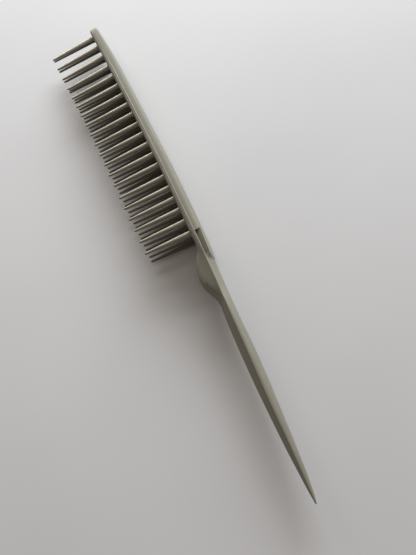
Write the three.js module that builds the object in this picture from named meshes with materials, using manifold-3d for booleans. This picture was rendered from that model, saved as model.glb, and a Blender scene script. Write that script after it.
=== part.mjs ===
// Three-row teasing comb with a rat tail, in moulded plastic. All sizes are in millimetres.
//
// The comb lies on its side. +X runs from the head's nose to the tail's tip, the teeth point
// along -Y, the back of the head faces +Y, and the three tooth rows are stacked along Z.
// Inside this file x = 0 is the nose, y = 0 is close to the parting line of the head, and z = 0
// is the comb's middle plane. The last lines move the comb so that the origin is the bottom
// centre of its bounding box.
//
// The comb is five mouldings: the handle body (tail, finger lobe and the tray of the head), the
// back shell that closes the tray, and the three tooth strips that the tray holds.

import * as THREE from "three";
import { mergeVertices } from "three/addons/utils/BufferGeometryUtils.js";
import Module from "manifold-3d";

const wasm = await Module();
wasm.setup();

// ---------------------------------------------------------------- driving dimensions

const combLength = 235;
const jointGap = 0.3; // clearance between two mouldings
const shellEnd = 118.2; // where the back shell stops, at the neck
const endBow = 1.4; // the sides of that end edge reach this much further than its middle
const bowStart = 106; // the sections bend to follow that edge from here
const bowFinish = 131; // to here
const bowFade = 12; // and take this length to bend fully, at either end

const trayWall = 0.75; // side wall of the tray, beside the outer strips
const trayStart = 2.2; // nose end of the tray's opening
const trayFinish = 121.2; // neck end of the tray's opening
const flatWall = 0.45; // height of the flat band on the tray's side, below the parting line
const wallChamfer = 0.55; // how far the tray's side draws in below that band

const teethPerRow = 20;
const firstTooth = 4.4;
const toothPitch = 5.86;
const wideGaps = new Map([
  [1, 0.45],
  [2, 0.45],
  [3, 0.9],
  [4, 0.45],
  [14, 0.9],
]); // extra space after these teeth
const rootHalfZ = 0.72; // half size of a tooth along Z at its root
const rootDepth = 0.6; // the teeth start this far below the parting line, inside their strip
const toothSides = 8;
const toothInset = 0.02; // keeps a tooth's side inside the side of its strip
const middleRowStart = 21.6; // the middle strip starts here, with its first tooth at the fourth place
const middleFirstTooth = 4;
const middleShorter = 0.5; // the middle row's teeth are this much shorter

const finOutside = 0.985; // the finger lobe's face starts at this share of the half width
const finInside = 0.76; // and reaches its full depth at this one

const coverPower = 12; // how square the cover's section is, 2 being an ellipse
const neckPower = 100; // the same for the neck just behind the cover
const archPower = 8; // spreads the points of the arched back over its height
const neckScoop = 0.1; // the neck's sides lean out by this share of the half width
const boxFade = 129; // behind the cover the square section starts to fade out here
const boxFinish = 132.5; // and is gone here

// Smooth curve through [x, value] pairs: cubic pieces with limited slopes, so it never overshoots.
function curveThrough(points) {
  const n = points.length;
  const chord = [];
  for (let i = 0; i < n - 1; i += 1) {
    chord.push((points[i + 1][1] - points[i][1]) / (points[i + 1][0] - points[i][0]));
  }
  const slope = points.map((point, i) => {
    if (i === 0) return chord[0];
    if (i === n - 1) return chord[n - 2];
    if (chord[i - 1] * chord[i] <= 0) return 0;
    return (2 * chord[i - 1] * chord[i]) / (chord[i - 1] + chord[i]);
  });
  return (x) => {
    if (x <= points[0][0]) return points[0][1];
    if (x >= points[n - 1][0]) return points[n - 1][1];
    const i = points.findIndex((point) => point[0] > x) - 1;
    const width = points[i + 1][0] - points[i][0];
    const t = (x - points[i][0]) / width;
    const a = points[i][1] * (2 * t ** 3 - 3 * t ** 2 + 1);
    const b = points[i + 1][1] * (3 * t ** 2 - 2 * t ** 3);
    const c = slope[i] * width * (t ** 3 - 2 * t ** 2 + t);
    const d = slope[i + 1] * width * (t ** 3 - t ** 2);
    return a + b + c + d;
  };
}

// Parting line of the head, which runs on as the ridge along the tail.
const partingY = curveThrough([
  [0, -0.95], [8, -0.65], [20, -0.53], [33, -0.48], [49, -0.41], [62, -0.39], [76, -0.42],
  [91, -0.64], [105, -0.92], [119, -1.2], [126, -1.4], [131, -1.58], [141, -1.88], [147, -2.22],
  [154, -2.62], [161, -3.07], [173, -3.65], [198, -5.0], [217, -5.7], [235, -6.75],
]);

// Outline of the back.
const backY = curveThrough([
  [0, 0.8], [0.5, 1.15], [1.5, 1.45], [4, 1.7], [12, 2.2], [24, 2.55], [40, 2.7], [60, 2.8],
  [75, 2.8], [100, 2.35], [116, 1.75], [124, 1.25], [128.5, 0.92], [133, 0.62], [138, 0.3],
  [150, -0.34], [158, -0.7], [172, -1.05], [185, -1.73], [197, -2.6], [210, -3.6], [225, -4.95],
  [232.5, -6.0], [235, -6.55],
]);

// Outline of the underside: the tooth roots under the head, then the belly of the tail.
const bellyY = curveThrough([
  [0, -1.7], [0.5, -1.95], [2, -2.15], [8, -2.05], [16, -1.85], [30, -1.75], [55, -1.5],
  [75, -1.6], [92, -1.85], [108, -2.35], [119, -2.75], [130, -3.4], [140, -4.3], [150, -5.2],
  [157, -5.85], [171, -6.7], [182, -7.15], [195, -7.45], [212, -7.6], [222, -7.45], [230, -7.25],
  [235, -7.0],
]);

// Half width of the comb along Z: a boat shape in plan, then the neck and the tail.
const halfWidth = curveThrough([
  [0, 1.1], [0.5, 1.75], [1.5, 2.2], [3, 2.42], [4.65, 2.55], [10.8, 2.85], [17, 3.15], [24, 3.5],
  [30, 3.78], [42, 4.2], [54, 4.52], [66, 4.78], [78, 5.05], [90, 5.32], [100, 5.53], [104, 5.6],
  [118, 5.6], [125, 5.3], [132, 4.85], [140, 4.5], [150, 4.1], [160, 3.7], [172, 3.4],
  [186, 3.2], [198, 2.9], [210, 2.4], [222, 1.75], [230, 1.15], [233.5, 0.75], [235, 0.35],
]);

// 0 where the section is the head's box and dome, 1 where it is the tail's lens with a ridge.
const ridged = curveThrough([
  [117, 0], [150, 0.85], [165, 1],
]);

// Height of the tooth tips, measured in the same y as the curves above.
const tipY = curveThrough([
  [7, -22.8], [30, -22.45], [50, -22.1], [75, -22.15], [100, -22.45], [118, -22.55],
]);

// The finger lobe's lowest line, on the belly just behind the last teeth.
const finStart = 121;
const finFinish = 153;
const finY = curveThrough([
  [121, -2.75], [122.6, -2.95], [126, -3.6], [128, -4.4], [130, -5.75], [132.3, -6.95],
  [134.5, -7.68], [136.5, -8.12], [138.2, -8.28], [140.1, -8.15], [142.3, -7.72], [144.3, -7.1],
  [146, -6.4], [147.6, -5.85], [149.2, -5.5], [151.5, -5.35], [153, -5.3],
]);

// Where a tooth's tip stands along X from its root, by the root's place; minus is nosewards.
const toothLean = curveThrough([
  [5, -0.5], [17, -0.3], [24, -0.65], [30, -0.8], [42, -1.0], [60, -1.25], [95, -1.6],
  [119, -1.8],
]);

// Half size of a tooth along X at its root.
const rootHalfX = curveThrough([
  [4, 1.5], [17, 1.45], [30, 1.35], [60, 1.3], [119, 1.3],
]);

// From the middle plane to the middle of an outer row.
const rowOffset = curveThrough([
  [4.5, 0.65], [10.8, 0.95], [17, 1.0], [24, 1.3], [30, 1.75], [36, 2.1], [42, 2.35], [54, 2.65],
  [66, 2.95], [78, 3.2], [90, 3.5], [104, 3.8], [125, 3.8],
]);

// How full the back is behind the neck: 1 is a plain gable, 2 an arch.
const lensPower = curveThrough([
  [118, 1.0], [132, 0.95], [143, 1.05], [152, 1.8], [160, 2.0], [235, 2.0],
]);

// How upright the arch stands on its side edges: 1 leans in at once, 2 starts upright.
const archRound = curveThrough([
  [118, 1.0], [140, 1.0], [146, 1.1], [152, 1.6], [160, 2.0], [235, 2.0],
]);

// ---------------------------------------------------------------- mesh helpers

const mix = (a, b, t) => a + (b - a) * t;
const limit = (t) => Math.min(1, Math.max(0, t));
const smoothStep = (t) => limit(t) ** 2 * (3 - 2 * limit(t));

// Three.js geometry to a manifold solid, turned right side out.
function toSolid(geometry) {
  const bare = new THREE.BufferGeometry();
  bare.setAttribute("position", geometry.getAttribute("position"));
  bare.setIndex(geometry.index);
  const merged = mergeVertices(bare, 1e-5);
  const vertProperties = new Float32Array(merged.attributes.position.array);
  const triVerts = new Uint32Array(merged.index.array);
  const solid = new wasm.Manifold(new wasm.Mesh({ numProp: 3, vertProperties, triVerts }));
  if (solid.volume() > 0) return solid;
  const turned = triVerts.slice();
  for (let i = 0; i < turned.length; i += 3) {
    [turned[i + 1], turned[i + 2]] = [turned[i + 2], turned[i + 1]];
  }
  return new wasm.Manifold(new wasm.Mesh({ numProp: 3, vertProperties, triVerts: turned }));
}

// Manifold solid back to flat-shaded three.js geometry.
function toGeometry(solid) {
  const mesh = solid.getMesh();
  const geometry = new THREE.BufferGeometry();
  const points = [];
  for (let i = 0; i < mesh.vertProperties.length; i += mesh.numProp) {
    points.push(mesh.vertProperties[i], mesh.vertProperties[i + 1], mesh.vertProperties[i + 2]);
  }
  geometry.setAttribute("position", new THREE.Float32BufferAttribute(points, 3));
  geometry.setIndex([...mesh.triVerts]);
  const flat = geometry.toNonIndexed();
  flat.computeVertexNormals();
  return flat;
}

// Closed solid through rings of points, all rings with the same number of points.
function loft(rings) {
  const count = rings[0].length;
  const points = rings.flat();
  const faces = [];
  for (let r = 0; r < rings.length - 1; r += 1) {
    for (let k = 0; k < count; k += 1) {
      const a = r * count + k;
      const b = r * count + ((k + 1) % count);
      faces.push(a, b, a + count, b, b + count, a + count);
    }
  }
  const ends = [
    [0, true],
    [rings.length - 1, false],
  ];
  for (const [r, first] of ends) {
    for (let k = 0; k < count / 2; k += 1) {
      const corners = [k, k + 1, count - k - 1, (count - k) % count];
      const [a, b, c, d] = corners.map((i) => r * count + i);
      if (b !== c) faces.push(...(first ? [a, c, b] : [a, b, c]));
      if (a !== d) faces.push(...(first ? [a, d, c] : [a, c, d]));
    }
  }
  const geometry = new THREE.BufferGeometry();
  geometry.setAttribute("position", new THREE.Float32BufferAttribute(points.flat(), 3));
  geometry.setIndex(faces);
  return toSolid(geometry);
}

// ---------------------------------------------------------------- sections

const neckStart = shellEnd + jointGap;
const upperShares = [1, 0.985, 0.95, 0.88, 0.7, 0];

// Shares of the half width and of the rise at one place on the back, 1 being the side.
function crownPoint(x, share) {
  if (x <= neckStart) return [share, Math.sqrt(1 - share ** coverPower)];
  const boxHeight = Math.sqrt(1 - share ** neckPower);
  const boxAcross = share - neckScoop * (1 - boxHeight);
  const archHeight = Math.sqrt(1 - share ** archPower);
  const archAcross = (1 - archHeight ** archRound(x)) ** (1 / lensPower(x));
  const box = smoothStep((boxFinish - x) / (boxFinish - boxFade));
  return [mix(archAcross, boxAcross, box), mix(archHeight, boxHeight, box)];
}

// The cover's end edge is an arc in plan, and the sections close to it follow that arc.
function bowed(x, z) {
  const nearEnd = smoothStep((x - bowStart) / bowFade) * smoothStep((bowFinish - x) / bowFade);
  return x + endBow * nearEnd * (z / halfWidth(x)) ** 2;
}

// Points of the upper side from -Z to +Z.
function upperPoints(x, base, rise) {
  const w = halfWidth(x);
  const right = upperShares.map((share) => {
    const [across, height] = crownPoint(x, share);
    return [bowed(x, w * across), base + rise * height, w * across];
  });
  const left = right.slice(0, -1).map(([px, py, pz]) => [px, py, -pz]);
  return [...left, ...right.reverse()];
}

const lensShares = [0.97, 0.9, 0.76, 0.4, 0];

// Points of the lower side from +Z to -Z, without the two edge points: the tray's box under the
// head, turning into the tail's lens, with the finger lobe standing out below the belly.
function lowerPoints(x, base) {
  const w = halfWidth(x);
  const s = ridged(x);
  const drop = base - bellyY(x);
  const flat = Math.min(flatWall, drop * 0.6);
  const chamfer = Math.min(wallChamfer, w * 0.2);
  const box = [
    [w, flat],
    [w - chamfer, drop],
    [w * finInside, drop],
    [w * 0.4, drop],
    [0, drop],
  ];
  const lens = lensShares.map((f) => [w * f, drop * (1 - f ** 1.5)]);
  const lobe = x > finStart && x < finFinish ? Math.max(0, bellyY(x) - finY(x)) : 0;
  const right = box.map(([z, d], i) => {
    const pz = mix(z, lens[i][0], s);
    const below = lobe * smoothStep((finOutside - pz / w) / (finOutside - finInside));
    return [bowed(x, pz), base - mix(d, lens[i][1], s) - below, pz];
  });
  const left = right.slice(0, -1).map(([px, py, pz]) => [px, py, -pz]);
  return [...right, ...left.reverse()];
}

// ---------------------------------------------------------------- handle body

const seamHalf = jointGap / 2;
const headStations = [
  0, 0.5, 1.5, 3, 4.65, 7.5, 10.8, 14, 17, 20.5, 24, 30, 36, 42, 48, 54, 60, 66, 72, 78, 84, 90, 97,
  104, 108, 112, 115,
];
const tailStations = [
  119.6, 121, 122.6, 124.5, 126, 128, 130, 131.5, 133, 134.5, 136.5, 138.2, 140.1, 142.3, 144.3, 146,
  147.6, 149.2, 151.5, 153, 156, 160, 166, 172, 179, 186, 192, 198, 204, 210, 216, 222, 226, 230,
  232.5, 234, 234.7,
];

function handleRings() {
  const rings = [];
  for (const x of [...headStations, neckStart]) {
    const top = partingY(x) - seamHalf;
    rings.push([...upperPoints(x, top, 0), ...lowerPoints(x, top)]);
  }
  for (const x of [neckStart + 0.05, ...tailStations, combLength]) {
    const edge = partingY(x) + seamHalf * (1 - ridged(x));
    rings.push([...upperPoints(x, edge, backY(x) - edge), ...lowerPoints(x, edge)]);
  }
  return rings;
}

const stripStations = [4.65, 10.8, 17, 24, 30, 42, 54, 66, 78, 90, 104];

// The opening of the tray, from below the tooth roots to just above the parting line.
function trayOpening() {
  const stations = [trayStart, ...stripStations, trayFinish];
  const rings = stations.map((x) => {
    const z = halfWidth(x) - trayWall;
    const top = partingY(x) + seamHalf;
    const bottom = bellyY(x) - 1;
    return [[x, top, -z], [x, top, z], [x, bottom, z], [x, bottom, -z]];
  });
  return loft(rings);
}

const handleBody = loft(handleRings()).subtract(trayOpening());

// ---------------------------------------------------------------- back shell

// Every crown point has a base point below it, which keeps the bowed end face upright.
function backShell() {
  const rings = [...headStations, shellEnd].map((x) => {
    const base = partingY(x) + seamHalf;
    const crown = upperPoints(x, base, backY(x) - base);
    const below = crown.slice(1, -1).map(([px, , pz]) => [px, base, pz]);
    return [...crown, ...below.reverse()];
  });
  return loft(rings);
}

// ---------------------------------------------------------------- tooth strips

const middleHalf = (x) => rowOffset(x) / 2 - jointGap;

// X of every tooth's root centre.
function toothPlaces() {
  const places = [];
  let x = firstTooth;
  for (let i = 1; i <= teethPerRow; i += 1) {
    places.push(x);
    x += toothPitch + (wideGaps.get(i) ?? 0);
  }
  return places;
}

// One tapered tooth with a rounded tip, rooted inside its strip.
function tooth(x, z, halfZ, shorter) {
  const top = partingY(x) - rootDepth;
  const root = bellyY(x);
  const tip = tipY(x) + shorter;
  const profile = [
    [top, 1.0],
    [root, 1.0],
    [mix(root, tip, 0.06), 0.9],
    [mix(root, tip, 0.5), 0.71],
    [mix(root, tip, 0.96), 0.43],
    [tip, 0.16],
  ];
  const rings = profile.map(([y, share]) => {
    const down = Math.max(0, (root - y) / (root - tip));
    const ring = [];
    for (let k = 0; k < toothSides; k += 1) {
      const angle = ((k + 0.5) * 2 * Math.PI) / toothSides;
      const px = x + toothLean(x) * down + rootHalfX(x) * share * Math.cos(angle);
      const pz = z + halfZ * mix(share, Math.sqrt(share), 0.4) * Math.sin(angle);
      ring.push([px, y, pz]);
    }
    return ring;
  });
  return loft(rings);
}

// One strip's bar: it fills its share of the tray between two edges given as functions of x.
function stripBar(stations, lowEdge, highEdge) {
  const rings = stations.map((x) => {
    const top = partingY(x) - seamHalf;
    const bottom = bellyY(x);
    return [
      [x, top, lowEdge(x)],
      [x, top, highEdge(x)],
      [x, bottom, highEdge(x)],
      [x, bottom, lowEdge(x)],
    ];
  });
  return loft(rings);
}

// An outer strip, built on the +Z side.
function outerStrip() {
  const split = middleRowStart - jointGap;
  const stations = [
    trayStart + jointGap, ...stripStations.filter((x) => x < split), split - 0.5, split,
    ...stripStations.filter((x) => x > split), trayFinish - jointGap,
  ];
  const innerEdge = (x) => (x < split ? jointGap / 2 : middleHalf(x) + jointGap);
  const outerEdge = (x) => halfWidth(x) - trayWall - jointGap;
  let strip = stripBar(stations, innerEdge, outerEdge);
  for (const x of toothPlaces()) {
    const z = rowOffset(x);
    const halfZ = Math.min(rootHalfZ, outerEdge(x) - z, z - innerEdge(x));
    strip = wasm.Manifold.union(strip, tooth(x, z, halfZ - toothInset, 0));
  }
  return strip;
}

// The middle strip is shorter and comes to a narrow end near the nose.
function middleStrip() {
  const stations = [
    middleRowStart, ...stripStations.filter((x) => x > middleRowStart), trayFinish - jointGap,
  ];
  let strip = stripBar(stations, (x) => -middleHalf(x), middleHalf);
  for (const x of toothPlaces().slice(middleFirstTooth - 1)) {
    const halfZ = Math.min(rootHalfZ, middleHalf(x));
    strip = wasm.Manifold.union(strip, tooth(x, 0, halfZ - toothInset, middleShorter));
  }
  return strip;
}

// ---------------------------------------------------------------- assembly

const plastic = (color) =>
  new THREE.MeshStandardMaterial({ color, roughness: 0.42, metalness: 0 });

const handlePlastic = plastic(0x8f8d7e);
const shellPlastic = plastic(0x97957f);
const stripPlastic = plastic(0x8b8979);

function piece(name, solid, material) {
  const mesh = new THREE.Mesh(toGeometry(solid), material);
  mesh.name = name;
  return mesh;
}

const outer = outerStrip();

const comb = new THREE.Group();
comb.name = "rat_tail_comb";
comb.add(
  piece("handle_body", handleBody, handlePlastic),
  piece("back_shell", backShell(), shellPlastic),
  piece("tooth_strip_near", outer, stripPlastic),
  piece("tooth_strip_middle", middleStrip(), stripPlastic),
  piece("tooth_strip_far", outer.mirror([0, 0, 1]), stripPlastic),
);

// Bottom centre of the bounding box to the origin.
const box = new THREE.Box3().setFromObject(comb);
const centre = box.getCenter(new THREE.Vector3());
comb.position.set(-centre.x, -centre.y, -box.min.z);

export default comb;
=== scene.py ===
"""Three-row teasing comb with a rat tail, in satin grey-olive plastic, lying on a white table.

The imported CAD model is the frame. Each of its five mouldings is replaced by a finer mesh of the
same piece: the handle body, the back cover and the three tooth strips. All shapes below are in
millimetres, in the comb's own axes: x from the nose to the tail's tip, y from the teeth to the
back, z across the rows, with z = 0 on the middle plane. place() turns them into the frame.
"""

import math

import bpy
from mathutils import Matrix, Vector


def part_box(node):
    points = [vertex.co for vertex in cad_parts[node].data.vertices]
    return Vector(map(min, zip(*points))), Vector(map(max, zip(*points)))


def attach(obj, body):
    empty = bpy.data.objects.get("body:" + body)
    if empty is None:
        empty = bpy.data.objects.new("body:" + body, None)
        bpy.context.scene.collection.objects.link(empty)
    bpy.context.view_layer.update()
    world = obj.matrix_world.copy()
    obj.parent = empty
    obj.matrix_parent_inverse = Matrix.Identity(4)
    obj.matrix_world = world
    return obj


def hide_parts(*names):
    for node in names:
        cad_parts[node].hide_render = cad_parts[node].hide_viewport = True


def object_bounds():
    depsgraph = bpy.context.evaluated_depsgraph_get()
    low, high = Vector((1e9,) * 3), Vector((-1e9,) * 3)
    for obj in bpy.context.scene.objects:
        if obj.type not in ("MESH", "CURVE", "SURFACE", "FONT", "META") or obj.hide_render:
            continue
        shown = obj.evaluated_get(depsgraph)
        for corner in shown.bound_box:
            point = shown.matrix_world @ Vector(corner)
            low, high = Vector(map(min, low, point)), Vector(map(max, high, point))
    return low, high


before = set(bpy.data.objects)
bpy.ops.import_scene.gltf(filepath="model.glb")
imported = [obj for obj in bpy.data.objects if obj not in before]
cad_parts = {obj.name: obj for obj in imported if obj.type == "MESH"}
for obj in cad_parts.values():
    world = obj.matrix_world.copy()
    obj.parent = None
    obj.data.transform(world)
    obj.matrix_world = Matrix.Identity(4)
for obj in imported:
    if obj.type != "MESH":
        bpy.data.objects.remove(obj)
cad_lo, cad_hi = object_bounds()

# ------------------------------------------------------------------ dimensions, in millimetres

MM = 0.001
COMB_LENGTH = 235.0
BACK_TOP = 2.8  # highest y of the back
JOINT_GAP = 0.3  # clearance between the tray and the strips, and between two strips
SEAM_HALF = 0.06  # half of the line between the tray and the cover
SHELL_END = 118.2  # where the cover stops, at the neck
END_GAP = 0.1
NECK_START = SHELL_END + END_GAP

TRAY_WALL = 0.75  # side wall of the tray, beside the outer strips
TRAY_START = 2.2
TRAY_FINISH = 121.2
FLAT_WALL = 0.45  # height of the upright band on the tray's side
WALL_CHAMFER = 0.55  # how far the tray's side draws in below that band

TEETH_PER_ROW = 20
FIRST_TOOTH = 4.4
TOOTH_PITCH = 5.86
WIDE_GAPS = {1: 0.45, 2: 0.45, 3: 0.9, 4: 0.45, 14: 0.9}  # extra space after these teeth
ROOT_HALF_Z = 0.72  # half size of a tooth along z at its root
TOOTH_INSET = 0.02  # keeps a tooth's side inside the side of its strip
MIDDLE_ROW_START = 21.6  # the middle strip starts here
MIDDLE_FIRST_TOOTH = 4  # with its first tooth at this place of the outer rows
MIDDLE_SHORTER = 0.5

FIN_START = 121  # the finger lobe hangs under the belly from here
FIN_FINISH = 153  # to here
FIN_OUTSIDE = 0.985  # its face starts at this share of the half width
FIN_INSIDE = 0.76  # and reaches its full depth at this one

BOW_START = 106  # the sections bend to follow the cover's bowed end from here
BOW_FINISH = 131  # to here
BOW_FADE = 12  # and take this length to bend fully, at either end
END_BOW = 1.4  # the sides of the cover's end reach this much further than its middle

COVER_POWER = 12  # how square the cover's section is, 2 being an ellipse
NECK_POWER = 400  # the same for the neck just behind the cover
ARCH_POWER = 8  # spreads the points of the arched back over its height
NECK_SCOOP = 0.13  # the neck's sides lean out by this share of the half width
BOX_FADE = 129.0  # the square section starts to fade out here
BOX_FINISH = 132.5  # and is gone here
LIP_WIDTH = 0.3  # sloped edge between the parting line and the back
LIP_HEIGHT = 0.52

SHARP_DEGREES = 38  # edges that bend harder than this stay crisp
STRIP_SHARP_DEGREES = 50


def curve_through(points):
    """Smooth curve through (x, value) pairs: cubic pieces with limited slopes."""
    n = len(points)
    chord = [
        (points[i + 1][1] - points[i][1]) / (points[i + 1][0] - points[i][0])
        for i in range(n - 1)
    ]
    slope = [chord[0]]
    for i in range(1, n - 1):
        if chord[i - 1] * chord[i] <= 0:
            slope.append(0.0)
        else:
            slope.append(2 * chord[i - 1] * chord[i] / (chord[i - 1] + chord[i]))
    slope.append(chord[-1])

    def value(x):
        if x <= points[0][0]:
            return points[0][1]
        if x >= points[-1][0]:
            return points[-1][1]
        i = next(k for k in range(1, n) if points[k][0] > x) - 1
        width = points[i + 1][0] - points[i][0]
        t = (x - points[i][0]) / width
        a = points[i][1] * (2 * t**3 - 3 * t**2 + 1)
        b = points[i + 1][1] * (3 * t**2 - 2 * t**3)
        c = slope[i] * width * (t**3 - 2 * t**2 + t)
        d = slope[i + 1] * width * (t**3 - t**2)
        return a + b + c + d

    return value


# Parting line of the head, which runs on as the ridge along the tail.
parting_y = curve_through([
    (0, -0.95), (8, -0.65), (20, -0.53), (33, -0.48), (49, -0.41), (62, -0.39), (76, -0.42),
    (91, -0.64), (105, -0.92), (119, -1.2), (126, -1.4), (131, -1.58), (141, -1.88),
    (147, -2.22), (154, -2.62), (161, -3.07), (173, -3.65), (198, -5.0), (217, -5.7),
    (235, -6.75),
])
# Outline of the back.
back_y = curve_through([
    (0, 0.8), (0.5, 1.15), (1.5, 1.45), (4, 1.7), (12, 2.2), (24, 2.55), (40, 2.7), (60, 2.8),
    (75, 2.8), (100, 2.35), (116, 1.75), (124, 1.25), (128.5, 0.92), (133, 0.62), (138, 0.3),
    (150, -0.34), (158, -0.7), (172, -1.05), (185, -1.73), (197, -2.6), (210, -3.6),
    (225, -4.95), (232.5, -6.0), (235, -6.55),
])
# Outline of the underside: the tooth roots, then the belly of the tail.
belly_y = curve_through([
    (0, -1.7), (0.5, -1.95), (2, -2.15), (8, -2.05), (16, -1.85), (30, -1.75), (55, -1.5),
    (75, -1.6), (92, -1.85), (108, -2.35), (119, -2.75), (130, -3.4), (140, -4.3), (150, -5.2),
    (157, -5.85), (171, -6.7), (182, -7.15), (195, -7.45), (212, -7.6), (222, -7.45),
    (230, -7.25), (235, -7.0),
])
# Half width along z: a boat shape in plan, then the neck and the tail.
half_width = curve_through([
    (0, 1.1), (0.5, 1.75), (1.5, 2.2), (3, 2.42), (4.65, 2.55), (10.8, 2.85), (17, 3.15),
    (24, 3.5), (30, 3.78), (42, 4.2), (54, 4.52), (66, 4.78), (78, 5.05), (90, 5.32),
    (100, 5.53), (104, 5.6), (118, 5.6), (125, 5.3), (132, 4.85), (140, 4.5), (150, 4.1),
    (160, 3.7), (172, 3.4), (186, 3.2), (198, 2.9), (210, 2.4), (222, 1.75), (230, 1.15),
    (233.5, 0.75), (235, 0.35),
])
# 0 where the lower section is the tray's box, 1 where it is the tail's lens.
ridged = curve_through([(117, 0), (150, 0.85), (165, 1)])
# Height of the tooth tips.
tip_y = curve_through([
    (7, -22.8), (30, -22.45), (50, -22.1), (75, -22.15), (100, -22.45), (118, -22.55),
])
# The finger lobe's lowest line.
fin_y = curve_through([
    (121, -2.75), (122.6, -2.95), (126, -3.6), (128, -4.4), (130, -5.75), (132.3, -6.95),
    (134.5, -7.68), (136.5, -8.12), (138.2, -8.28), (140.1, -8.15), (142.3, -7.72),
    (144.3, -7.1), (146, -6.4), (147.6, -5.85), (149.2, -5.5), (151.5, -5.35), (153, -5.3),
])
# Where a tooth's tip stands along x from its root; minus is towards the nose.
tooth_lean = curve_through([
    (5, -0.5), (17, -0.3), (24, -0.65), (30, -0.8), (42, -1.0), (60, -1.25), (95, -1.6),
    (119, -1.8),
])
# Half size of a tooth along x at its root.
root_half_x = curve_through([(4, 1.5), (17, 1.45), (30, 1.35), (60, 1.3), (119, 1.3)])
# From the middle plane to the middle of an outer row.
row_offset = curve_through([
    (4.5, 0.65), (10.8, 0.95), (17, 1.0), (24, 1.3), (30, 1.75), (36, 2.1), (42, 2.35),
    (54, 2.65), (66, 2.95), (78, 3.2), (90, 3.5), (104, 3.8), (125, 3.8),
])
# How full the back is behind the neck: 1 is a plain gable, 2 an arch.
lens_power = curve_through([
    (118, 1.0), (132, 0.95), (143, 1.05), (152, 1.8), (160, 2.0), (235, 2.0),
])
# How upright the arch stands on its side edges: 1 leans in at once, 2 starts upright.
arch_round = curve_through([
    (118, 1.0), (140, 1.0), (146, 1.1), (152, 1.6), (160, 2.0), (235, 2.0),
])
# How much of the lip is there.
lip_share = curve_through([(0, 0.1), (12, 0.15), (20, 0.5), (28, 1), (126, 1), (140, 0)])

# ------------------------------------------------------------------ frame

body_lo, body_hi = (Vector(corner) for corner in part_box("handle_body"))
shell_hi = Vector(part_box("back_shell")[1])
MID_Z = (body_lo.z + body_hi.z) / 2
ZERO_Y = shell_hi.y - BACK_TOP * MM


def place(x, y, z):
    """Comb axes in millimetres to the frame in metres."""
    return Vector((body_lo.x + x * MM, ZERO_Y + y * MM, MID_Z + z * MM))


def mix(a, b, t):
    return a + (b - a) * t


def smooth_step(t):
    t = min(1.0, max(0.0, t))
    return t * t * (3 - 2 * t)


def spread(start, stop, step):
    """Evenly spaced values from start to stop, both included."""
    count = max(1, round((stop - start) / step))
    return [start + (stop - start) * i / count for i in range(count + 1)]


# ------------------------------------------------------------------ mesh helpers


def loft_faces(ring_count, size, first=0):
    """Side and end faces of a loft of rings of one size, whose points start at first."""
    faces = []
    for r in range(ring_count - 1):
        for k in range(size):
            a = first + r * size + k
            b = first + r * size + (k + 1) % size
            faces.append((a, b, b + size, a + size))
    faces.append(tuple(first + k for k in reversed(range(size))))
    last = first + (ring_count - 1) * size
    faces.append(tuple(last + k for k in range(size)))
    return faces


def mesh_object(name, points, faces, sharp_degrees=SHARP_DEGREES):
    """Smooth-shaded mesh object with outward faces and sharp edges where it bends hard."""
    mesh = bpy.data.meshes.new(name)
    mesh.from_pydata(points, [], faces)
    mesh.validate()
    obj = bpy.data.objects.new(name, mesh)
    bpy.context.scene.collection.objects.link(obj)
    turn_outward(mesh)
    shade(mesh, sharp_degrees)
    return obj


def shade(mesh, sharp_degrees):
    mesh.polygons.foreach_set("use_smooth", [True] * len(mesh.polygons))
    mesh.set_sharp_from_angle(angle=math.radians(sharp_degrees))
    mesh.update()


def turn_outward(mesh):
    """Reverses the faces if the closed mesh is inside out."""
    volume = 0.0
    for polygon in mesh.polygons:
        corners = [mesh.vertices[i].co for i in polygon.vertices]
        for i in range(1, len(corners) - 1):
            volume += corners[0].dot(corners[i].cross(corners[i + 1]))
    if volume < 0:
        mesh.flip_normals()


def lofted(name, rings):
    points = [place(*point) for ring in rings for point in ring]
    return mesh_object(name, points, loft_faces(len(rings), len(rings[0])))


def cut(obj, tool):
    """Subtracts the tool mesh from obj and removes the tool."""
    modifier = obj.modifiers.new("cut", "BOOLEAN")
    modifier.operation = "DIFFERENCE"
    modifier.solver = "EXACT"
    modifier.object = tool
    graph = bpy.context.evaluated_depsgraph_get()
    mesh = bpy.data.meshes.new_from_object(obj.evaluated_get(graph))
    obj.modifiers.clear()
    obj.data = mesh
    bpy.data.objects.remove(tool)


# ------------------------------------------------------------------ sections

# Shares of the half width, from the side to the middle, at which the back has its points.
CROWN_SHARES = [
    1, 0.995, 0.985, 0.97, 0.95, 0.92, 0.88, 0.83, 0.77, 0.7, 0.62, 0.53, 0.43, 0.33, 0.22,
    0.11, 0,
]


def crown_point(x, share):
    """Shares of the half width and of the rise at one place on the back, 1 at the side."""
    if x < NECK_START:
        return share, (1 - share**COVER_POWER) ** 0.5
    box_height = (1 - share**NECK_POWER) ** 0.5
    box_across = share - NECK_SCOOP * (1 - box_height)
    arch_height = (1 - share**ARCH_POWER) ** 0.5
    arch_across = (1 - arch_height ** arch_round(x)) ** (1 / lens_power(x))
    box = smooth_step((BOX_FINISH - x) / (BOX_FINISH - BOX_FADE))
    return mix(arch_across, box_across, box), mix(arch_height, box_height, box)


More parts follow.
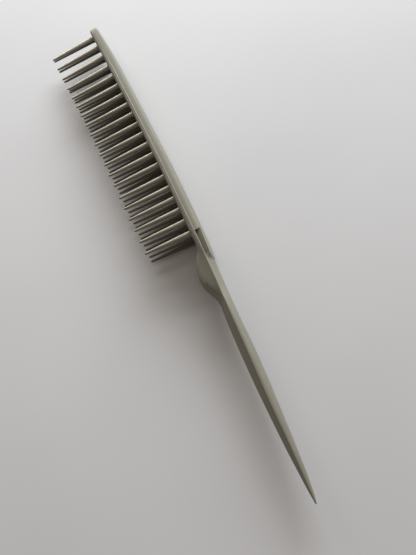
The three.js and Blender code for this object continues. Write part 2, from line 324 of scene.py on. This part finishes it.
def upper_profile(x, base, rise):
    """(z, y) points from the +Z edge to the middle, over a small lip and the crowned back."""
    w = half_width(x)
    lip = lip_share(x) * min(1.0, rise / 1.6)
    lw = min(LIP_WIDTH * lip, w * 0.12)
    lh = min(LIP_HEIGHT * lip, rise * 0.35)
    edge = [
        (w - lw * 0.15, base),
        (w, base + lh * 0.1),
        (w, base + lh * 0.36),
        (w - lw * 0.08, base + lh * 0.5),
        (w - lw * 0.5, base + lh * 0.78),
    ]
    for share in CROWN_SHARES:
        across, height = crown_point(x, share)
        edge.append(((w - lw) * across, base + lh + (rise - lh) * height))
    return edge


# The same for the underside: the tray's wall, then its bottom.
WALL_SHARES = [0.999, 0.997, 0.994, 0.991, 0.989, 0.987, 0.985, 0.983]
BOTTOM_SHARES = [0.98, 0.94, 0.89, 0.83, 0.77, 0.72, 0.69, 0.665, 0.64]
BOTTOM_SHARES += [0.62 - 0.02 * i for i in range(16)]
BOTTOM_SHARES += [0.25, 0.17, 0.08, 0]


def lower_profile(x, base):
    """(z, y) points from below the +Z edge to the middle, with the finger lobe."""
    w = half_width(x)
    s = ridged(x)
    drop = base - belly_y(x)
    flat = min(FLAT_WALL, drop * 0.6)
    chamfer = min(WALL_CHAMFER, w * 0.3)
    box = [
        (w, 0.02),
        (w, flat * 0.5),
        (w, flat * 0.96),
        (w - chamfer * 0.1, mix(flat, drop, 0.16)),
        (w - chamfer * 0.45, mix(flat, drop, 0.55)),
        (w - chamfer * 0.8, mix(flat, drop, 0.86)),
        (w - chamfer * 1.1, drop * 0.985),
        (w - chamfer * 1.6, drop),
    ]
    inner = w - chamfer * 1.6
    box += [(inner * share / 0.98 * 0.97, drop) for share in BOTTOM_SHARES]
    lobe = max(0.0, belly_y(x) - fin_y(x)) if FIN_START < x < FIN_FINISH else 0.0
    points = []
    for (box_z, box_drop), share in zip(box, WALL_SHARES + BOTTOM_SHARES):
        z = mix(box_z, w * share, s)
        y = base - mix(box_drop, drop * (1 - share**1.5), s)
        y -= lobe * smooth_step((FIN_OUTSIDE - z / w) / (FIN_OUTSIDE - FIN_INSIDE))
        points.append((z, y))
    return points


def bowed(x, z):
    """The cover's end edge is an arc: the sides reach further towards the tail than the middle."""
    near_end = smooth_step((x - BOW_START) / BOW_FADE) * smooth_step((BOW_FINISH - x) / BOW_FADE)
    return x + END_BOW * near_end * (z / half_width(x)) ** 2


def both_sides(x, profile):
    """The -Z and +Z points of a half profile, each in the profile's order, middle point on +Z."""
    right = [(bowed(x, z), y, z) for z, y in profile]
    left = [(bowed(x, z), y, -z) for z, y in profile[:-1]]
    return left, right


def closed_ring(x, upper, lower):
    """A ring from half profiles: over the top from -Z to +Z, then under from +Z to -Z."""
    left_up, right_up = both_sides(x, upper)
    left_low, right_low = both_sides(x, lower)
    return left_up + right_up[::-1] + right_low + left_low[::-1]


# ------------------------------------------------------------------ handle body

NOSE_STATIONS = [0, 0.15, 0.4, 0.8, 1.3, 2.0, 2.9, 4.0]
TIP_STATIONS = [229.5, 231, 232.3, 233.2, 233.9, 234.4, 234.75, 234.93, COMB_LENGTH]
TRAY_STATIONS = [
    TRAY_START, 4.65, 10.8, 17, 24, 30, 42, 54, 66, 78, 90, 100, 104, TRAY_FINISH,
]


def tray_opening():
    """The hollow of the tray, from below the tooth roots to just above the parting line."""
    rings = []
    for x in TRAY_STATIONS:
        z = half_width(x) - TRAY_WALL
        top = parting_y(x) + SEAM_HALF
        bottom = belly_y(x) - 1
        rings.append([(x, top, -z), (x, top, z), (x, bottom, z), (x, bottom, -z)])
    return lofted("tray_opening", rings)


def handle_body():
    """The open tray of the head, then the neck, the finger lobe and the tail."""
    rings = []
    for x in NOSE_STATIONS + spread(5, NECK_START, 1.5):
        top = parting_y(x) - SEAM_HALF
        rings.append(closed_ring(x, upper_profile(x, top, 0.0), lower_profile(x, top)))
    tail = [NECK_START + 0.03] + spread(NECK_START + 0.4, 156, 0.4) + spread(157.5, 228, 1.5)
    for x in tail + TIP_STATIONS:
        edge = parting_y(x) + SEAM_HALF * (1 - ridged(x))
        upper = upper_profile(x, edge, back_y(x) - edge)
        rings.append(closed_ring(x, upper, lower_profile(x, edge)))
    body = lofted("handle_moulding", rings)
    cut(body, tray_opening())
    shade(body.data, SHARP_DEGREES)
    return body


# ------------------------------------------------------------------ back cover


COVER_STATIONS = NOSE_STATIONS + spread(5, SHELL_END - 0.6, 1.0) + [SHELL_END - 0.2, SHELL_END]
END_ROUNDING = 0.12


def back_cover():
    """The domed back of the head, with its end edge eased a little."""
    rings = []
    for x in COVER_STATIONS:
        base = parting_y(x) + SEAM_HALF
        rise = back_y(x) - base
        if x == SHELL_END:
            rise -= END_ROUNDING
        left, right = both_sides(x, upper_profile(x, base, rise))
        rings.append(left + right[::-1])
    return lofted("back_cover", rings)


# ------------------------------------------------------------------ tooth strips


def middle_half(x):
    """Half width of the middle strip."""
    return row_offset(x) / 2 - JOINT_GAP


def tooth_places():
    """The x of every tooth's root centre."""
    places = []
    x = FIRST_TOOTH
    for i in range(1, TEETH_PER_ROW + 1):
        places.append(x)
        x += TOOTH_PITCH + WIDE_GAPS.get(i, 0)
    return places


TOOTH_SIDES = 20
# (share of the way from root to tip, share of the root's size)
TOOTH_PROFILE = [
    (-0.012, 1.0), (0.0, 1.12), (0.008, 1.05), (0.02, 0.985), (0.04, 0.94), (0.08, 0.9),
    (0.16, 0.865), (0.28, 0.81), (0.42, 0.745), (0.56, 0.675), (0.7, 0.6), (0.82, 0.53),
    (0.91, 0.475), (0.955, 0.44), (0.975, 0.4), (0.988, 0.33), (0.996, 0.23), (1.0, 0.1),
]


def tooth_rings(x, z, half_z, shorter):
    """One tapered, leaning tooth with a small fillet at its root and a rounded tip."""
    root = belly_y(x)
    tip = tip_y(x) + shorter
    half_x = root_half_x(x)
    rings = []
    for down, share in TOOTH_PROFILE:
        y = mix(root, tip, down)
        ring = []
        for k in range(TOOTH_SIDES):
            angle = 2 * math.pi * (k + 0.5) / TOOTH_SIDES
            px = x + tooth_lean(x) * max(0.0, down) + half_x * share * math.cos(angle)
            pz = z + half_z * mix(share, math.sqrt(share), 0.4) * math.sin(angle)
            ring.append((px, y, pz))
        rings.append(ring)
    return rings


BAR_CHAMFER = 0.1


def tooth_strip(name, stations, low_edge, high_edge, teeth):
    """A bar between two edges given as functions of x, and the teeth that stand on it."""
    bar = []
    for x in stations:
        top = parting_y(x) - SEAM_HALF
        bottom = belly_y(x)
        low, high = low_edge(x), high_edge(x)
        bar.append([
            (x, top, low), (x, top, high), (x, bottom + BAR_CHAMFER, high),
            (x, bottom, high - BAR_CHAMFER), (x, bottom, low + BAR_CHAMFER),
            (x, bottom + BAR_CHAMFER, low),
        ])
    points = []
    faces = []
    for rings in [bar] + teeth:
        faces += loft_faces(len(rings), len(rings[0]), len(points))
        points += [place(*point) for ring in rings for point in ring]
    return mesh_object(name, points, faces, STRIP_SHARP_DEGREES)


def outer_edge(x):
    """The z of an outer strip's side next to the tray's wall."""
    return half_width(x) - TRAY_WALL - JOINT_GAP


def inner_edge(x):
    """The z of its other side, next to the middle strip or, near the nose, the other row."""
    split = MIDDLE_ROW_START - JOINT_GAP
    return JOINT_GAP / 2 if x < split else middle_half(x) + JOINT_GAP


def outer_strip(name, side):
    """An outer row: side is 1 for the row on +Z and -1 for the other."""
    split = MIDDLE_ROW_START - JOINT_GAP
    stations = [TRAY_START + JOINT_GAP, 4, 6, 8.6, 12, 17, split - 0.5, split]
    stations += spread(23, TRAY_FINISH - JOINT_GAP, 3)
    teeth = []
    for x in tooth_places():
        z = row_offset(x)
        half_z = min(ROOT_HALF_Z, outer_edge(x) - z, z - inner_edge(x)) - TOOTH_INSET
        rings = tooth_rings(x, z, half_z, 0.0)
        teeth.append([[(px, py, side * pz) for px, py, pz in ring] for ring in rings])
    if side > 0:
        return tooth_strip(name, stations, inner_edge, outer_edge, teeth)
    return tooth_strip(name, stations, lambda x: -outer_edge(x), lambda x: -inner_edge(x), teeth)


def middle_strip(name):
    """The middle row, which starts further from the nose and has shorter teeth."""
    stations = [MIDDLE_ROW_START] + spread(23, TRAY_FINISH - JOINT_GAP, 3)
    teeth = []
    for x in tooth_places()[MIDDLE_FIRST_TOOTH - 1:]:
        half_z = min(ROOT_HALF_Z, middle_half(x)) - TOOTH_INSET
        teeth.append(tooth_rings(x, 0.0, half_z, MIDDLE_SHORTER))
    return tooth_strip(name, stations, lambda x: -middle_half(x), middle_half, teeth)


# ------------------------------------------------------------------ materials


def node_tree(name):
    material = bpy.data.materials.new(name)
    material.use_nodes = True
    tree = material.node_tree
    return material, tree, tree.nodes["Principled BSDF"]


def noise(tree, vector, scale, detail, roughness=0.5):
    node = tree.nodes.new("ShaderNodeTexNoise")
    node.inputs["Scale"].default_value = scale
    node.inputs["Detail"].default_value = detail
    node.inputs["Roughness"].default_value = roughness
    tree.links.new(vector, node.inputs["Vector"])
    return node.outputs["Fac"]


NOISE_LOW = 0.35
NOISE_HIGH = 0.65


def spread_range(tree, value, low, high):
    """Stretches the middle of a noise value over the range from low to high."""
    node = tree.nodes.new("ShaderNodeMapRange")
    node.inputs["From Min"].default_value = NOISE_LOW
    node.inputs["From Max"].default_value = NOISE_HIGH
    node.inputs["To Min"].default_value = low
    node.inputs["To Max"].default_value = high
    tree.links.new(value, node.inputs["Value"])
    return node.outputs["Result"]


def blend_colour(tree, factor, a, b):
    """Mixes two colours, each a tuple or a node's output."""
    node = tree.nodes.new("ShaderNodeMix")
    node.data_type = "RGBA"
    tree.links.new(factor, node.inputs["Factor"])
    for socket, value in (("A", a), ("B", b)):
        target = next(i for i in node.inputs if i.name == socket and i.type == "RGBA")
        if isinstance(value, tuple):
            target.default_value = value
        else:
            tree.links.new(value, target)
    return next(o for o in node.outputs if o.type == "RGBA")


def scaled(colour, factor):
    red, green, blue, alpha = colour
    return red * factor, green * factor, blue * factor, alpha


def satin_plastic(name, light, dark, seed, rough, ior=1.46):
    """Moulded plastic: mottled tone, flow streaks along the comb, fine grain and handling marks."""
    material, tree, shader = node_tree(name)
    coords = tree.nodes.new("ShaderNodeTexCoord").outputs["Object"]
    shift = tree.nodes.new("ShaderNodeMapping")
    shift.inputs["Location"].default_value = (seed, seed * 0.7, seed * 0.3)
    tree.links.new(coords, shift.inputs["Vector"])
    along = tree.nodes.new("ShaderNodeMapping")
    along.inputs["Scale"].default_value = (0.12, 1.0, 1.0)
    tree.links.new(shift.outputs["Vector"], along.inputs["Vector"])

    mottle = noise(tree, shift.outputs["Vector"], 90.0, 3.0)
    streak = noise(tree, along.outputs["Vector"], 700.0, 4.0)
    grain = noise(tree, shift.outputs["Vector"], 5200.0, 2.0)
    marks = noise(tree, along.outputs["Vector"], 2400.0, 5.0, 0.65)

    tone = blend_colour(tree, spread_range(tree, mottle, 0.0, 1.0), dark, light)
    tone = blend_colour(tree, spread_range(tree, streak, 0.0, 0.35), tone, scaled(light, 0.86))
    tone = blend_colour(tree, spread_range(tree, grain, 0.0, 0.14), tone, scaled(light, 1.25))
    tree.links.new(tone, shader.inputs["Base Color"])

    gloss = tree.nodes.new("ShaderNodeMath")
    gloss.operation = "ADD"
    tree.links.new(spread_range(tree, mottle, rough - 0.03, rough + 0.03), gloss.inputs[0])
    tree.links.new(spread_range(tree, marks, -0.03, 0.05), gloss.inputs[1])
    tree.links.new(gloss.outputs[0], shader.inputs["Roughness"])
    shader.inputs["IOR"].default_value = ior

    bump = tree.nodes.new("ShaderNodeBump")
    bump.inputs["Strength"].default_value = 0.25
    bump.inputs["Distance"].default_value = 0.00003
    tree.links.new(marks, bump.inputs["Height"])
    tree.links.new(bump.outputs["Normal"], shader.inputs["Normal"])
    return material


def table_finish():
    """Smooth white board with a faint, soft mottle."""
    material, tree, shader = node_tree("white_table")
    coords = tree.nodes.new("ShaderNodeTexCoord").outputs["Object"]
    soft = noise(tree, coords, 9.0, 2.0)
    tone = blend_colour(
        tree, spread_range(tree, soft, 0.0, 1.0), (0.67, 0.675, 0.685, 1), (0.705, 0.71, 0.72, 1)
    )
    tree.links.new(tone, shader.inputs["Base Color"])
    shader.inputs["Roughness"].default_value = 0.6
    return material


# ------------------------------------------------------------------ pieces

handle_plastic = satin_plastic(
    "olive_plastic_handle", (0.225, 0.213, 0.165, 1), (0.205, 0.194, 0.15, 1), 0.0, 0.46
)
cover_plastic = satin_plastic(
    "olive_plastic_cover", (0.225, 0.216, 0.168, 1), (0.203, 0.195, 0.152, 1), 1.7, 0.68, 1.36
)
# The teeth plastic is a lighter tone than the handle's: painted light that brightens the lit sides
# of the near teeth.
strip_plastic = satin_plastic(
    "olive_plastic_teeth", (0.26, 0.243, 0.187, 1), (0.235, 0.22, 0.17, 1), 3.1, 0.24
)
# Darker copy of the teeth plastic for the middle and far rows: painted shade, standing in for the
# shadow that the near row and the back cast on the inner teeth.
painted_shade_teeth_plastic = satin_plastic(
    "olive_plastic_teeth_painted_shade", (0.13, 0.121, 0.096, 1), (0.115, 0.107, 0.085, 1), 4.3, 0.4
)

pieces = [
    (handle_body(), "handle_body", "handle_plastic", handle_plastic),
    (back_cover(), "back_shell", "shell_plastic", cover_plastic),
    (outer_strip("teeth_near", 1), "tooth_strip_near", "strip_plastic", strip_plastic),
    # The middle and far strips take the darker copy of the teeth plastic, which is painted shade.
    (middle_strip("teeth_middle"), "tooth_strip_middle", "strip_plastic", painted_shade_teeth_plastic),
    (outer_strip("teeth_far", -1), "tooth_strip_far", "strip_plastic", painted_shade_teeth_plastic),
]
for piece, node, slot, material in pieces:
    piece.data.materials.clear()
    piece.data.materials.append(material)
    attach(piece, "root")
    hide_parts(node)

# ------------------------------------------------------------------ table

TABLE_HALF = 1.5  # metres
table_corners = [(-1, -1), (1, -1), (1, 1), (-1, 1)]
table = mesh_object(
    "table_top",
    [Vector((x * TABLE_HALF, y * TABLE_HALF, cad_lo.z)) for x, y in table_corners],
    [(0, 1, 2, 3)],
)
table.data.materials.append(table_finish())

# ------------------------------------------------------------------ camera

CAMERA_SPOT = (325.7, 23.0, 352.6)  # in the comb's own axes
VIEW_DIRECTION = (-0.46912, -0.06934, -0.88041)
CAMERA_ROLL = math.radians(-36.4)
LENS_MM = 67.3

forward = Vector(VIEW_DIRECTION).normalized()
level = forward.cross(Vector((0, 0, 1))).normalized()
upright = level.cross(forward)
right = math.cos(CAMERA_ROLL) * level + math.sin(CAMERA_ROLL) * upright
up = -math.sin(CAMERA_ROLL) * level + math.cos(CAMERA_ROLL) * upright

camera_data = bpy.data.cameras.new("camera")
camera_data.sensor_width = 36.0
camera_data.lens = LENS_MM
camera_data.clip_start = 0.01
camera = bpy.data.objects.new("camera", camera_data)
bpy.context.scene.collection.objects.link(camera)
turn = Matrix((right, up, -forward)).transposed().to_4x4()
camera.matrix_world = Matrix.Translation(place(*CAMERA_SPOT)) @ turn
bpy.context.scene.camera = camera

# ------------------------------------------------------------------ light


def area_light(name, spot, size, power, colour):
    """A rectangular light at a spot in metres, turned to the frame's origin."""
    data = bpy.data.lights.new(name, "AREA")
    data.shape = "RECTANGLE"
    data.size, data.size_y = size
    data.energy = power
    data.color = colour
    light = bpy.data.objects.new(name, data)
    bpy.context.scene.collection.objects.link(light)
    light.location = spot
    light.rotation_euler = (-Vector(spot)).to_track_quat("-Z", "Y").to_euler()


area_light("window", (-0.74, 0.49, 0.238), (0.85, 0.29), 17.9, (0.955, 0.985, 1.02))
area_light("low_window", (-0.93, -0.07, 0.22), (0.34, 0.3), 4.0, (1.0, 0.98, 0.93))

world = bpy.data.worlds.new("room")
bpy.context.scene.world = world
world.use_nodes = True
background = world.node_tree.nodes["Background"]
background.inputs["Color"].default_value = (1.0, 0.87, 0.76, 1)
background.inputs["Strength"].default_value = 0.24

bpy.context.scene.view_settings.view_transform = "Standard"
